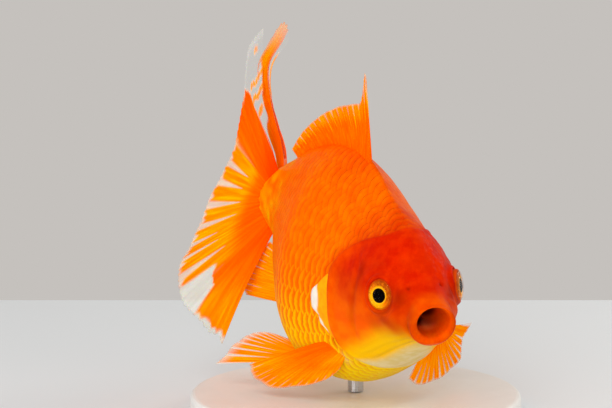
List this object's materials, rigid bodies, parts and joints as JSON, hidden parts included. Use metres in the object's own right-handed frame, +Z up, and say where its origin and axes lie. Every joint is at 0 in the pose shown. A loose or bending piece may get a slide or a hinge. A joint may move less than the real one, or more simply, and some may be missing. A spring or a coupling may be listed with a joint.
{
  "type": "fancy goldfish model",
  "caption": "Life-size still model of a fancy goldfish with a deep humped body, open mouth, long fins and double tail, held above a round display base by a short rod.",
  "frame": {"origin": "middle of the stand base's underside, on the surface it stands on", "axes": "+Z up; the fish's head faces -Y and its left side is towards +X"},
  "size_m": [0.084, 0.1029, 0.099],
  "materials": {
    "skin_red": "wet red-orange skin of the head, smooth and glossy",
    "skin_orange": "orange scaled skin, paler and yellow on the belly, glossy",
    "fin": "thin rayed orange membrane with pale translucent margins",
    "eye": "golden iris and black pupil under a clear glossy cornea",
    "base_lacquer": "satin off-white lacquer",
    "rod_steel": "fine brushed steel"
  },
  "bodies": {
    "root": {"head": "skin_red", "upper_lip": "skin_red", "lower_lip": "skin_red", "gill_cover_left": "skin_orange", "gill_cover_right": "skin_orange", "trunk": "skin_orange", "tail_stalk": "skin_orange", "eye_left": "eye", "eye_right": "eye", "dorsal_fin": "fin", "pectoral_fin_left": "fin", "pectoral_fin_right": "fin", "pelvic_fin_left": "fin", "pelvic_fin_right": "fin", "anal_fin_left": "fin", "anal_fin_right": "fin", "tail_fin_left": "fin", "tail_fin_right": "fin", "stand_base": "base_lacquer", "stand_rod": "rod_steel"}
  },
  "joints": []
}
